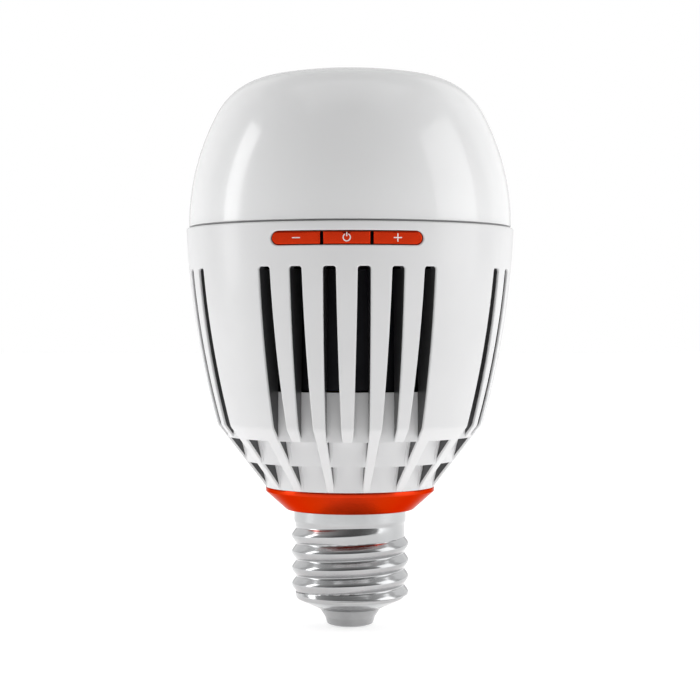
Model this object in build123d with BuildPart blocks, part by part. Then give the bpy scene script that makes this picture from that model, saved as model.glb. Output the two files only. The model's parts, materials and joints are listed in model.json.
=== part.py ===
from build123d import *
from math import asin, atan2, cos, degrees, hypot, radians, sin, tan
import os

# Battery-backed smart light bulb, E27 base.  Millimetres, +Z towards the dome.
# The origin is the centre of the base's contact face; the three keys face -Y.

# ---------------------------------------------------------------- driving sizes
# Housing: a barrel that runs in to a cone, and the cone down to the collar ring
SEAM_Z = 88.85               # top of the housing, where the diffuser starts
HOUSING_RADIUS = 36.6        # at the seam
BARREL_ARC = 198.0           # radius of the barrel's side line
BEND_Z = 45.4                # corner between barrel and cone
BEND_RADIUS = 29.8
BEND_FILLET = 2.4            # rounding of that corner
NECK_Z = 31.3                # bottom of the cone, on the collar ring
NECK_RADIUS = 18.9
SKIN = 0.5                   # thickness of the white skin

# Ventilation slots: four groups of six, closer together in the side groups
SLOTS_PER_GROUP = 6
FRONT_PITCH = 11.57          # degrees between slots, front and back groups
SIDE_PITCH = 10.9            # degrees between slots, side groups
SLOT_TOP = 9.25              # slot's top below the seam
SLOT_TOP_WIDTH = 2.66
SLOT_FOOT_WIDTH = 3.3
SLOT_CORNER = 0.6

# Staircase of recessed cells below and behind the slots
ROW_1_FOOT = 42.7            # height of each row's foot
ROW_2_FOOT = 37.2
BACK_WALL_TOP = 53.2         # top of the wall behind the slots
FLOOR_WALL = 0.9
FLOOR_DRAFT = 0.85           # a floor stands this much further out at its top
PILASTER_WIDTH = 0.65        # strip beside each long rib
PILASTER_RISE = 0.5
EDGE_RIB_ANGLE = 6.2         # width of the long rib at a panel's edge, degrees
STAIR_LAP = 0.15             # how far a stair runs in behind a rib's cap, degrees

# Inner frame
FRAME_GAP = 0.05             # between the skin and the frame behind it
FRAME_WALL = 1.0
NECK_TUBE_WALL = 1.45
NECK_TUBE_FOOT = 16.0
PANEL_WALL = 1.4

# Keys
POCKET_LENGTH = 31.4
POCKET_HEIGHT = 3.0
KEY_DROP = 3.45              # key's centre below the seam
KEY_SPLIT_X = 5.15           # middle of the gap between two keys
KEY_SPLIT = 0.6
KEY_GAP = 0.17               # round the three keys
KEY_RECESS = 0.12
KEY_EDGE = 0.25
KEY_SEAT = 5.4               # the face a key's flange rests behind, in from the housing's radius
KEY_FLANGE = 0.8
KEY_FLANGE_RISE = 0.6
KEY_TRAVEL = 0.35
KEY_SLACK = 0.05             # flange to stop, and key to switch
KEY_POST = 1.8
KEY_POST_RADIUS = 1.2
ICON_SIZE = 1.7
ICON_LINE = 0.22
ICON_DEPTH = 0.2

# Button board and its switches
SWITCH_SIZE = 4.5
SWITCH_DEPTH = 2.0
STEM_RADIUS = 1.0
STEM_REACH = 0.9             # how far a stem stands out of its switch
STEM_LENGTH = 1.9
STEM_FIT = 0.06              # radial clearance of a stem in its switch
BUTTON_BOARD = 1.0
BUTTON_BOARD_HALF = 16.0
BUTTON_BOARD_FOOT = 9.2      # below the seam
BUTTON_BOARD_HEAD = 1.2
BAY_SIDE = 1.5               # the bay's room beside the button board
BAY_FOOT = 0.5               # and below it

# Diffuser and its seal
SEAL = 0.35
DOME_STEP = 0.6              # the diffuser is this much slimmer than the housing
DOME_SKIRT = 0.5             # upright band at the diffuser's rim
DOME_SIDE_ARC = 52.3
DOME_SIDE_ANGLE = 28.5
DOME_SHOULDER_ARC = 15.4
DOME_SHOULDER_ANGLE = 50.4
DOME_WALL = 1.8
LIP_WALL = 1.0
LIP_DEPTH = 1.5              # the diffuser's lip below the seam
LIP_FIT = 0.05

# Heat sink: a plate that carries the lamp board, and a cup below it
SINK_PLATE = 2.4
SINK_SEAT = 0.7              # plate's underside below the seam
SINK_CUP_FIT = 0.55          # cup inside the frame's fins
SINK_CUP_WALL = 1.6
SINK_CUP_GAP = 0.4           # above the wall behind the slots
SINK_SCREW_HEAD = 2.2
SINK_SCREW_SHANK = 1.2
SINK_SCREW_DEPTH = 7.0
SCREW_FIT = 0.1
THERMAL_PAD = 0.4
LAMP_BOARD = 1.6
LAMP_BOARD_RIM = 6.8         # the plate's rim outside the lamp board, for its screws
LAMP_SCREW_RIM = 1.7         # a lamp screw's head in from the board's edge
LAMP_SCREW_HEAD = 1.9
LAMP_SCREW_SHANK = 1.0
SCREW_HEAD_HEIGHT = 1.3
LED_SIZE = 3.5
LED_HEIGHT = 0.9
LED_CLEAR = 0.35             # outer ring of LEDs inside the screw heads
LED_CORNER = 0.3
LEAD_HOLE = 2.2              # radius of the hole for the lamp's leads

# Collar ring and E27 base
RING_FOOT_Z = 26.1
RING_STEP = 1.6              # the ring's foot stands this far out of the collar
RING_BAND = 1.0              # upright band at the ring's top
RING_FOOT_ROUND = 0.9
THREAD_CREST = 13.15         # E27 outer radius
THREAD_DEPTH = 0.85
THREAD_PITCH = 3.629         # seven turns to the inch
THREAD_TURNS = 3.75
THREAD_STEPS = 5             # pieces the thread is wound in
THREAD_SHARE = 0.66          # the ridge's width as a share of the pitch
THREAD_FOOT_Z = 7.45         # at +X, where the thread starts
SHELL_WALL = 0.4
SHELL_TOP_Z = 29.2
COLLAR_RISE = 0.3            # the plain collar outside the thread's root
COLLAR_FOOT_Z = 23.8
CONE_TOP_Z = 6.2
CONE_TOP_STEP = 0.1          # the cone's top inside the thread's root
CONE_FOOT_Z = 3.8
CONE_FOOT_RADIUS = 6.95
BASE_FIT = 0.05
TIP_RADIUS = 4.3             # centre contact
TIP_HEIGHT = 1.0
TIP_ROUND = 0.35
RIVET_RADIUS = 1.3
RIVET_TOP = 8.6
INSULATOR_FOOT = 5.15
INSULATOR_FOOT_Z = 0.3
INSULATOR_WAIST = 5.65       # where the frustum's flare ends
INSULATOR_WAIST_Z = 1.9
INSULATOR_TOP_Z = 7.6

# Battery and electronics
CELL_RADIUS = 9.15
CELL_LENGTH = 35.0
CELL_CLEAR = 2.85            # between the cell and the driver board
CELL_FIT = 0.15
HOLDER_FOOT_Z = 40.4
HOLDER_PLATE = 1.6
HOLDER_SPINE = 1.2
HOLDER_HALF_WIDTH = 5.0
CONTACT_GAP = 1.6
DRIVER_Y = -3.0              # middle of the driver board
DRIVER_THICKNESS = 1.6
DRIVER_HALF_WIDTH = 13.5
DRIVER_FOOT_Z = 34.0
DRIVER_DROP = 9.15           # its top below the heat sink's plate
CELL_BUTTON = 1.0            # raised button on the cell's top end
CONTACT_SHEET = 0.4
TRANSFORMER_X = -3.5
TRANSFORMER_UP = 22.5        # middle above the driver board's foot
TRANSFORMER_WIDTH = 12.0
TRANSFORMER_WINDOW = 7.6
TRANSFORMER_DEPTH = 10.5
CAPACITOR_RADIUS = 4.0
CAPACITOR_HEIGHT = 12.0
CAPACITOR_PLACES = [(8.5, 28), (-7.5, 11)]
CHOKE_RADIUS = 4.6
CHOKE_HEIGHT = 8.5
CHOKE_PLACE = (4.5, 10)
FUSE_WIDTH = 3.4
FUSE_LENGTH = 6.0
FUSE_PLACE = (9.8, 18.5)
CHIP_LENGTH = 4.9
CHIP_WIDTH = 3.9
CHIP_HEIGHT = 1.4
CHIP_PLACES = [(7, 39.5), (-1, 3), (-9, 3)]
WIRELESS_BOARD = 0.8
WIRELESS_LENGTH = 14.0
WIRELESS_WIDTH = 10.0
WIRELESS_PLACE = (-4, 37)
SHIELD_LENGTH = 9.0
SHIELD_WIDTH = 8.0
SHIELD_HEIGHT = 1.8
SHIELD_SIDE = 2.0            # the shield's middle beside the wireless board's
BOARD_CORNER = 0.6
LEAD_RADIUS = 0.6
RIBBON_THICKNESS = 0.3
RIBBON_WIDTH = 8.0
RIBBON_RUN = 5.0             # straight run at each end
RIBBON_DROP = 5.0            # from the button board down to the driver board

# ------------------------------------------------------------- worked-out sizes
EDGE = SKIN * 0.6            # rounding of the skin's edges
RIM_ROUND = SKIN * 0.75      # rounding of the housing's top edge
CONE_ANGLE = atan2(BEND_RADIUS - NECK_RADIUS, BEND_Z - NECK_Z)
CHORD = hypot(HOUSING_RADIUS - BEND_RADIUS, SEAM_Z - BEND_Z)
CHORD_ANGLE = atan2(HOUSING_RADIUS - BEND_RADIUS, SEAM_Z - BEND_Z)
BARREL_FOOT_ANGLE = CHORD_ANGLE + asin(CHORD / 2 / BARREL_ARC)
SLOT_TOP_Z = SEAM_Z - SLOT_TOP
FRAME_INSET = SKIN + FRAME_GAP
KEY_Z = SEAM_Z - KEY_DROP
KEY_STOP_Y = KEY_SEAT - HOUSING_RADIUS
SINK_Z = SEAM_Z - SINK_SEAT
PLATE_TOP_Z = SINK_Z + SINK_PLATE
LAMP_Z = PLATE_TOP_Z + THERMAL_PAD
LAMP_TOP_Z = LAMP_Z + LAMP_BOARD
DOME_Z = SEAM_Z + SEAL
DOME_RADIUS = HOUSING_RADIUS - DOME_STEP
LIP_RADIUS = DOME_RADIUS - DOME_WALL
PLATE_RADIUS = LIP_RADIUS - LIP_WALL - LIP_FIT * 4
LAMP_BOARD_RADIUS = PLATE_RADIUS - LAMP_BOARD_RIM
SINK_SCREW_RADIUS = (LAMP_BOARD_RADIUS + PLATE_RADIUS) / 2
LAMP_SCREW_CIRCLE = LAMP_BOARD_RADIUS - LAMP_SCREW_HEAD - LAMP_SCREW_RIM
LED_OUTER_CIRCLE = LAMP_SCREW_CIRCLE - LAMP_SCREW_HEAD - LED_CLEAR - LED_SIZE / 2
LED_INNER_CIRCLE = LED_OUTER_CIRCLE * 0.57
THREAD_ROOT = THREAD_CREST - THREAD_DEPTH
COLLAR_RADIUS = THREAD_ROOT + COLLAR_RISE
CONE_TOP_RADIUS = THREAD_ROOT - CONE_TOP_STEP
RING_FOOT_RADIUS = COLLAR_RADIUS + RING_STEP
NECK_TUBE_RADIUS = THREAD_ROOT - SHELL_WALL - BASE_FIT
NECK_BORE = NECK_TUBE_RADIUS - NECK_TUBE_WALL
CELL_Y = DRIVER_Y + DRIVER_THICKNESS / 2 + CELL_CLEAR + CELL_RADIUS
DRIVER_HEIGHT = SINK_Z - DRIVER_DROP - DRIVER_FOOT_Z
BAY_WIDTH = 2 * (BUTTON_BOARD_HALF + BAY_SIDE)
BAY_HEIGHT = SINK_Z - (SEAM_Z - BUTTON_BOARD_FOOT) + BAY_FOOT


def cone_radius(z, inset=0.0):
    """Radius of the cone at height z, with the surface moved inwards by inset."""
    return NECK_RADIUS + (z - NECK_Z) * tan(CONE_ANGLE) - inset / cos(CONE_ANGLE)


def barrel_radius(z):
    """Radius of the barrel's outer surface at height z."""
    top_angle = CHORD_ANGLE - asin(CHORD / 2 / BARREL_ARC)
    middle_r = HOUSING_RADIUS - BARREL_ARC * cos(top_angle)
    middle_z = SEAM_Z + BARREL_ARC * sin(top_angle)
    return middle_r + (BARREL_ARC**2 - (z - middle_z) ** 2) ** 0.5


def outer_radius(z):
    """Radius of the housing's outer surface at height z, without the bend's rounding."""
    return min(barrel_radius(z), cone_radius(z)) if z < SEAM_Z else HOUSING_RADIUS


FIN_ROOT = cone_radius(ROW_1_FOOT) + FRAME_GAP
SINK_CUP_RADIUS = FIN_ROOT - SINK_CUP_FIT


def bend_point(inset):
    """Corner of barrel and cone, with both moved inwards by inset."""
    middle = (BARREL_FOOT_ANGLE + CONE_ANGLE) / 2
    shift = inset / cos((CONE_ANGLE - BARREL_FOOT_ANGLE) / 2)
    return (BEND_RADIUS - shift * cos(middle), BEND_Z + shift * sin(middle))


def housing_face(inset, foot_z, top_z=SEAM_Z):
    """Half section of the housing's outer shape moved inwards by inset, out to the axis."""
    with BuildSketch() as face:
        with BuildLine():
            top = (HOUSING_RADIUS - inset, SEAM_Z)
            foot = (cone_radius(foot_z, inset), foot_z)
            barrel = RadiusArc(top, bend_point(inset), BARREL_ARC - inset)
            Polyline(barrel @ 1, foot, (0, foot_z), (0, SEAM_Z), top)
        make_face()
        bend = face.vertices().sort_by_distance((*bend_point(inset), 0))[0]
        fillet(bend, radius=BEND_FILLET - inset)
        if top_z < SEAM_Z:
            with Locations((0, top_z + SEAM_Z / 2)):
                Rectangle(4 * HOUSING_RADIUS, SEAM_Z, mode=Mode.SUBTRACT)
    return face.sketch


def radial_plane(angle):
    """Upright plane through the axis; its x runs outwards, angle degrees from the front."""
    turn = radians(angle - 90)
    return Plane(origin=(0, 0, 0), x_dir=(cos(turn), sin(turn), 0), z_dir=(sin(turn), -cos(turn), 0))


def facing_plane(angle, radius=0.0):
    """Upright plane that faces outwards at that angle; its y runs up."""
    turn = radians(angle - 90)
    out = Vector(cos(turn), sin(turn), 0)
    return Plane(origin=out * radius, x_dir=(-sin(turn), cos(turn), 0), z_dir=out)


# Slots, long ribs and cells round the housing, as angles from the front
GROUPS = [(0, FRONT_PITCH), (90, SIDE_PITCH), (180, FRONT_PITCH), (270, SIDE_PITCH)]
SLOT_HALF_ANGLE = degrees(asin(SLOT_FOOT_WIDTH / 2 / cone_radius(ROW_1_FOOT)))
slot_angles = [
    middle + pitch * (index - (SLOTS_PER_GROUP - 1) / 2)
    for middle, pitch in GROUPS
    for index in range(SLOTS_PER_GROUP)
]
long_ribs = []                       # (start angle, width in degrees)
for middle, pitch in GROUPS:
    rib_width = pitch - 2 * SLOT_HALF_ANGLE
    group_edge = pitch * (SLOTS_PER_GROUP - 1) / 2 + SLOT_HALF_ANGLE
    long_ribs.append((middle - group_edge - EDGE_RIB_ANGLE, EDGE_RIB_ANGLE))
    long_ribs.append((middle - pitch - rib_width / 2, rib_width))
    long_ribs.append((middle + pitch - rib_width / 2, rib_width))
    long_ribs.append((middle + group_edge, EDGE_RIB_ANGLE))
cells = []                           # (start angle, width in degrees) between long ribs
for index, (start, width) in enumerate(long_ribs):
    following = long_ribs[(index + 1) % len(long_ribs)][0]
    cells.append((start + width, (following - start - width) % 360))


def by_width(spans):
    """Spans gathered by their width, so that each width is revolved once."""
    widths = sorted({round(width, 6) for start, width in spans})
    return [(w, [start for start, width in spans if round(width, 6) == w]) for w in widths]


def slot_sketch():
    """A slot's outline in its facing plane, wider at its foot."""
    half_top = SLOT_TOP_WIDTH / 2
    half_foot = SLOT_FOOT_WIDTH / 2
    with BuildSketch() as outline:
        with BuildLine():
            Polyline(
                (-half_foot, ROW_1_FOOT),
                (half_foot, ROW_1_FOOT),
                (half_top, SLOT_TOP_Z),
                (-half_top, SLOT_TOP_Z),
                close=True,
            )
        make_face()
        fillet(outline.vertices().group_by(Axis.Y)[-1], radius=SLOT_CORNER)
    return outline.sketch


def stair_outer(rise=0.0):
    """Outer side of the staircase, with each row's top standing rise further out."""
    row_1 = cone_radius(ROW_1_FOOT)
    row_2 = cone_radius(ROW_2_FOOT)
    return [
        (row_1, BACK_WALL_TOP),
        (row_1, ROW_1_FOOT),
        (row_2 + FLOOR_DRAFT + rise, ROW_1_FOOT),
        (row_2, ROW_2_FOOT),
        (NECK_RADIUS + FLOOR_DRAFT + rise, ROW_2_FOOT),
        (NECK_RADIUS, NECK_Z),
    ]


def stair_inner(depth):
    """A line that runs behind the staircase's outer side at that depth, foot first."""
    row_1 = cone_radius(ROW_1_FOOT)
    row_2 = cone_radius(ROW_2_FOOT)
    return [
        (NECK_RADIUS - depth, NECK_Z),
        (NECK_RADIUS + FLOOR_DRAFT - depth, ROW_2_FOOT + depth),
        (row_2 - depth, ROW_2_FOOT + depth),
        (row_2 + FLOOR_DRAFT - depth, ROW_1_FOOT + depth),
        (row_1 - depth, ROW_1_FOOT + depth),
        (row_1 - depth, BACK_WALL_TOP),
    ]


def filled(points):
    """A face with straight sides through those points."""
    with BuildSketch() as face:
        with BuildLine():
            Polyline(*points, close=True)
        make_face()
    return face.sketch


def save(piece, name):
    """Label a finished piece and write its STEP file."""
    piece.part.label = name
    export_step(piece.part, f"parts/{name}.step")


def lead(points, bends, radius=None):
    """A wire: straight runs joined by arcs, round in section."""
    with BuildPart() as wire:
        with BuildLine() as path:
            FilletPolyline(*points, radius=bends)
        with BuildSketch(Plane(origin=path.line @ 0, z_dir=path.line % 0)):
            Circle(radius or LEAD_RADIUS)
        sweep()
    return wire


os.makedirs("parts", exist_ok=True)
front = facing_plane(0)

# ------------------------------------------------------------------ housing shell
# Long ribs' caps: the skin's own strips down the cone, with rounded side edges.
with BuildPart() as rib_caps:
    for width, starts in by_width(long_ribs):
        with BuildSketch(*[radial_plane(start) for start in starts]):
            add(
                filled(
                    [
                        (cone_radius(ROW_1_FOOT), ROW_1_FOOT),
                        (NECK_RADIUS, NECK_Z),
                        (cone_radius(NECK_Z, SKIN), NECK_Z),
                        (cone_radius(ROW_1_FOOT, SKIN), ROW_1_FOOT),
                    ]
                )
            )
        revolve(axis=Axis.Z, revolution_arc=width)
    cap_edges = [
        edge
        for edge in rib_caps.edges().filter_by(GeomType.LINE)
        if edge.length > FLOOR_WALL * 3
        and hypot((edge @ 0.5).X, (edge @ 0.5).Y) > cone_radius((edge @ 0.5).Z, SKIN / 2)
    ]
    fillet(cap_edges, radius=EDGE)

with BuildPart() as housing_shell:
    with BuildSketch(Plane.XZ):
        add(housing_face(0, ROW_1_FOOT))
        add(housing_face(SKIN, ROW_1_FOOT), mode=Mode.SUBTRACT)
    revolve(axis=Axis.Z)
    rims = housing_shell.edges().filter_by(GeomType.CIRCLE).group_by(Axis.Z)[-1]
    fillet(rims.sort_by(SortBy.RADIUS)[-1], radius=RIM_ROUND)
    with BuildSketch(*[facing_plane(angle, BEND_RADIUS / 2) for angle in slot_angles]):
        add(slot_sketch())
    extrude(amount=HOUSING_RADIUS, mode=Mode.SUBTRACT)
    with BuildSketch(front.offset(BEND_RADIUS)):
        with Locations((0, KEY_Z)):
            SlotOverall(POCKET_LENGTH, POCKET_HEIGHT)
    extrude(amount=HOUSING_RADIUS, mode=Mode.SUBTRACT)
    # round the outer edges of the slots and of the key pocket
    opening_edges = [
        edge
        for edge in housing_shell.edges()
        if ROW_1_FOOT + EDGE < (edge @ 0.5).Z < SEAM_Z - 2 * RIM_ROUND
        and hypot((edge @ 0.5).X, (edge @ 0.5).Y) > outer_radius((edge @ 0.5).Z) - SKIN / 3
        and not (edge.geom_type == GeomType.CIRCLE and hypot(edge.arc_center.X, edge.arc_center.Y) < EDGE)
    ]
    fillet(opening_edges, radius=EDGE)
    # stairs between the long ribs, with a proud strip along each rib
    pilaster_angle = degrees(PILASTER_WIDTH / cone_radius(ROW_2_FOOT))
    for width, starts in by_width(cells):
        with BuildSketch(*[radial_plane(start + pilaster_angle) for start in starts]):
            add(filled(stair_outer() + stair_inner(FLOOR_WALL)))
        revolve(axis=Axis.Z, revolution_arc=width - 2 * pilaster_angle)
    strips = [start - STAIR_LAP for start, width in cells]
    strips += [start + width - pilaster_angle for start, width in cells]
    with BuildSketch(*[radial_plane(start) for start in strips]):
        add(filled(stair_outer(PILASTER_RISE) + stair_inner(FLOOR_WALL)))
    revolve(axis=Axis.Z, revolution_arc=pilaster_angle + STAIR_LAP)
    add(rib_caps.part)
save(housing_shell, "housing_shell")

# -------------------------------------------------------------------- inner frame
# Dark cage behind the skin: a band at the top, a fin behind each rib, a gusset
# behind each long rib's cap, and a sleeve and neck behind the stairs.
SLEEVE_BACK = FLOOR_WALL + FRAME_GAP + FRAME_WALL
with BuildPart() as inner_frame:
    with BuildSketch(Plane.XZ):
        add(housing_face(FRAME_INSET, ROW_1_FOOT))
        Rectangle(2 * FIN_ROOT, 4 * SEAM_Z, mode=Mode.SUBTRACT)
        with Locations((0, SEAM_Z)):
            Rectangle(2 * PLATE_RADIUS, 2 * SINK_SEAT, mode=Mode.SUBTRACT)
            Rectangle(2 * (LIP_RADIUS + LIP_FIT), 2 * LIP_DEPTH, mode=Mode.SUBTRACT)
        with BuildLine():
            Polyline(
                (FIN_ROOT, SEAM_Z - LIP_DEPTH),
                (PLATE_RADIUS, SEAM_Z - LIP_DEPTH),
                (PLATE_RADIUS, SINK_Z),
                (FIN_ROOT, SINK_Z),
                close=True,
            )
        make_face()
    revolve(axis=Axis.Z)
    with BuildSketch(*[facing_plane(angle, BEND_RADIUS / 2) for angle in slot_angles]):
        add(slot_sketch())
    extrude(amount=HOUSING_RADIUS, mode=Mode.SUBTRACT)
    # pockets behind the plain panels
    panels = cells[3::4]
    for width, starts in by_width(panels):
        with BuildSketch(*[radial_plane(start) for start in starts]):
            add(housing_face(FRAME_INSET + PANEL_WALL, ROW_1_FOOT, SLOT_TOP_Z))
            Rectangle(2 * (FIN_ROOT - FRAME_WALL), 4 * SEAM_Z, mode=Mode.SUBTRACT)
        revolve(axis=Axis.Z, revolution_arc=width, mode=Mode.SUBTRACT)
    # gussets, narrower than the ribs by the lap and the gap on each side
    gap_angle = STAIR_LAP + degrees(FRAME_GAP / NECK_RADIUS)
    for width, starts in by_width(long_ribs):
        with BuildSketch(*[radial_plane(start + gap_angle) for start in starts]):
            add(housing_face(FRAME_INSET, NECK_Z, BACK_WALL_TOP))
            add(filled([(0, BACK_WALL_TOP), (0, NECK_Z)] + stair_inner(SLEEVE_BACK)), mode=Mode.SUBTRACT)
        revolve(axis=Axis.Z, revolution_arc=width - 2 * gap_angle)
    # sleeve behind the stairs, and the neck that the screw shell goes on
    with BuildSketch(Plane.XZ):
        add(filled(stair_inner(FLOOR_WALL + FRAME_GAP) + stair_inner(SLEEVE_BACK)[::-1]))
        with BuildLine():
            Polyline(
                (NECK_BORE, NECK_TUBE_FOOT),
                (NECK_TUBE_RADIUS, NECK_TUBE_FOOT),
                (NECK_TUBE_RADIUS, NECK_Z),
                (NECK_RADIUS - FLOOR_WALL - FRAME_GAP, NECK_Z),
                (NECK_RADIUS - FLOOR_WALL - FRAME_GAP, NECK_Z + FRAME_WALL),
                (NECK_BORE, NECK_Z + FRAME_WALL),
                close=True,
            )
        make_face()
    revolve(axis=Axis.Z)
    # bay for the button board, and the window that the keys run in
    with BuildSketch(Plane.XZ.offset(-KEY_STOP_Y)):
        with Locations((0, SINK_Z - BAY_HEIGHT / 2)):
            Rectangle(BAY_WIDTH, BAY_HEIGHT)
    extrude(amount=KEY_STOP_Y + SINK_CUP_RADIUS / 2, mode=Mode.SUBTRACT)
    with BuildSketch(front.offset(BEND_RADIUS / 2)):
        with Locations((0, KEY_Z)):
            SlotOverall(POCKET_LENGTH, POCKET_HEIGHT)
    extrude(amount=HOUSING_RADIUS, mode=Mode.SUBTRACT)
    # screw holes for the heat sink
    with BuildSketch(Plane.XY.offset(SINK_Z)):
        with PolarLocations(SINK_SCREW_RADIUS, 4, start_angle=45):
            Circle(SINK_SCREW_SHANK)
    extrude(amount=-SINK_SCREW_DEPTH, mode=Mode.SUBTRACT)
save(inner_frame, "inner_frame")

# --------------------------------------------------------------- diffuser and seal


def dome_lines(inset):
    """The diffuser's side, shoulder and crown, moved inwards by inset, closed on the axis."""
    foot = (DOME_RADIUS - inset, DOME_Z + DOME_SKIRT)
    side = JernArc(foot, (0, 1), DOME_SIDE_ARC - inset, DOME_SIDE_ANGLE)
    shoulder = JernArc(side @ 1, side % 1, DOME_SHOULDER_ARC - inset, DOME_SHOULDER_ANGLE)
    rest_angle = 90 - DOME_SIDE_ANGLE - DOME_SHOULDER_ANGLE
    crown = JernArc(shoulder @ 1, shoulder % 1, (shoulder @ 1).X / sin(radians(rest_angle)), rest_angle)
    Polyline(crown @ 1, (0, DOME_Z), (DOME_RADIUS - inset, DOME_Z), foot)


with BuildPart() as diffuser_dome:
    with BuildSketch(Plane.XZ):
        with BuildLine():
            dome_lines(0)
        make_face()
        with BuildLine():
            dome_lines(DOME_WALL)
        make_face(mode=Mode.SUBTRACT)
        # the lip, and the shoulder that joins it to the wall
        with BuildLine():
            Polyline(
                (LIP_RADIUS - LIP_WALL, SEAM_Z - LIP_DEPTH + LIP_FIT),
                (LIP_RADIUS, SEAM_Z - LIP_DEPTH + LIP_FIT),
                (LIP_RADIUS, DOME_Z),
                (DOME_RADIUS - DOME_WALL / 2, DOME_Z),
                (DOME_RADIUS - DOME_WALL / 2, DOME_Z + DOME_WALL),
                (LIP_RADIUS - LIP_WALL, DOME_Z + DOME_WALL),
                close=True,
            )
        make_face()
    revolve(axis=Axis.Z)
save(diffuser_dome, "diffuser_dome")

with BuildPart() as diffuser_seal:
    with BuildSketch(Plane.XY.offset(SEAM_Z)):
        Circle(DOME_RADIUS - 0.25)
        Circle(LIP_RADIUS + LIP_FIT, mode=Mode.SUBTRACT)
    extrude(amount=SEAL)
save(diffuser_seal, "diffuser_seal")

# -------------------------------------------------------- heat sink and lamp board
cup_foot_z = BACK_WALL_TOP + SINK_CUP_GAP
with BuildPart() as heat_sink:
    with BuildSketch(Plane.XY.offset(cup_foot_z)):
        Circle(SINK_CUP_RADIUS)
        Circle(SINK_CUP_RADIUS - SINK_CUP_WALL, mode=Mode.SUBTRACT)
    extrude(amount=SINK_Z - cup_foot_z)
    with BuildSketch(Plane.XY.offset(SINK_Z)):
        Circle(PLATE_RADIUS)
    extrude(amount=SINK_PLATE)
    # the cup is open at the front for the button board and its ribbon
    with BuildSketch(Plane.XZ.offset(-KEY_STOP_Y)):
        with Locations((0, SINK_Z - BAY_HEIGHT / 2)):
            Rectangle(BAY_WIDTH, BAY_HEIGHT)
    extrude(amount=KEY_STOP_Y + SINK_CUP_RADIUS / 2, mode=Mode.SUBTRACT)
    with BuildSketch(Plane.XY.offset(PLATE_TOP_Z)):
        with PolarLocations(SINK_SCREW_RADIUS, 4, start_angle=45):
            Circle(SINK_SCREW_SHANK + SCREW_FIT)
        with PolarLocations(LAMP_SCREW_CIRCLE, 3, start_angle=90):
            Circle(LAMP_SCREW_SHANK)
        Circle(LEAD_HOLE)
    extrude(amount=-SINK_PLATE, mode=Mode.SUBTRACT)
save(heat_sink, "heat_sink")


def pan_screws(count, circle, start_angle, seat_z, head_radius, shank_radius, shank_length):
    """Pan-head screws on a circle, with a cross recess in each head."""
    with BuildPart() as screws:
        with BuildSketch(Plane.XY.offset(seat_z)):
            with PolarLocations(circle, count, start_angle=start_angle):
                Circle(head_radius)
        extrude(amount=SCREW_HEAD_HEIGHT)
        fillet(screws.edges().filter_by(GeomType.CIRCLE).group_by(Axis.Z)[-1], radius=head_radius / 4)
        with BuildSketch(Plane.XY.offset(seat_z)):
            with PolarLocations(circle, count, start_angle=start_angle):
                Circle(shank_radius)
        extrude(amount=-shank_length)
        with BuildSketch(Plane.XY.offset(seat_z + SCREW_HEAD_HEIGHT)):
            with PolarLocations(circle, count, start_angle=start_angle):
                Rectangle(head_radius * 1.1, head_radius / 4)
                Rectangle(head_radius / 4, head_radius * 1.1)
        extrude(amount=-SCREW_HEAD_HEIGHT / 2, mode=Mode.SUBTRACT)
    return screws


sink_screws = pan_screws(
    4, SINK_SCREW_RADIUS, 45, PLATE_TOP_Z, SINK_SCREW_HEAD, SINK_SCREW_SHANK, SINK_PLATE + SINK_SCREW_DEPTH - 1
)
save(sink_screws, "sink_screws")

with BuildPart() as thermal_pad:
    with BuildSketch(Plane.XY.offset(PLATE_TOP_Z)):
        Circle(LAMP_BOARD_RADIUS)
        Circle(LEAD_HOLE, mode=Mode.SUBTRACT)
        with PolarLocations(LAMP_SCREW_CIRCLE, 3, start_angle=90):
            Circle(LAMP_SCREW_SHANK + SCREW_FIT, mode=Mode.SUBTRACT)
    extrude(amount=THERMAL_PAD)
save(thermal_pad, "thermal_pad")

with BuildPart() as lamp_board:
    with BuildSketch(Plane.XY.offset(LAMP_Z)):
        Circle(LAMP_BOARD_RADIUS)
        with PolarLocations(LAMP_SCREW_CIRCLE, 3, start_angle=90):
            Circle(LAMP_SCREW_SHANK + SCREW_FIT, mode=Mode.SUBTRACT)
    extrude(amount=LAMP_BOARD)
save(lamp_board, "lamp_board")

lamp_screws = pan_screws(
    3, LAMP_SCREW_CIRCLE, 90, LAMP_TOP_Z, LAMP_SCREW_HEAD, LAMP_SCREW_SHANK, LAMP_BOARD + THERMAL_PAD + SINK_PLATE
)
save(lamp_screws, "lamp_screws")

with BuildPart() as leds:
    with BuildSketch(Plane.XY.offset(LAMP_TOP_Z)):
        with PolarLocations(LED_OUTER_CIRCLE, 16):
            RectangleRounded(LED_SIZE, LED_SIZE * 0.8, LED_CORNER)
        with PolarLocations(LED_INNER_CIRCLE, 8):
            RectangleRounded(LED_SIZE, LED_SIZE * 0.8, LED_CORNER)
    extrude(amount=LED_HEIGHT)
save(leds, "leds")

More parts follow.
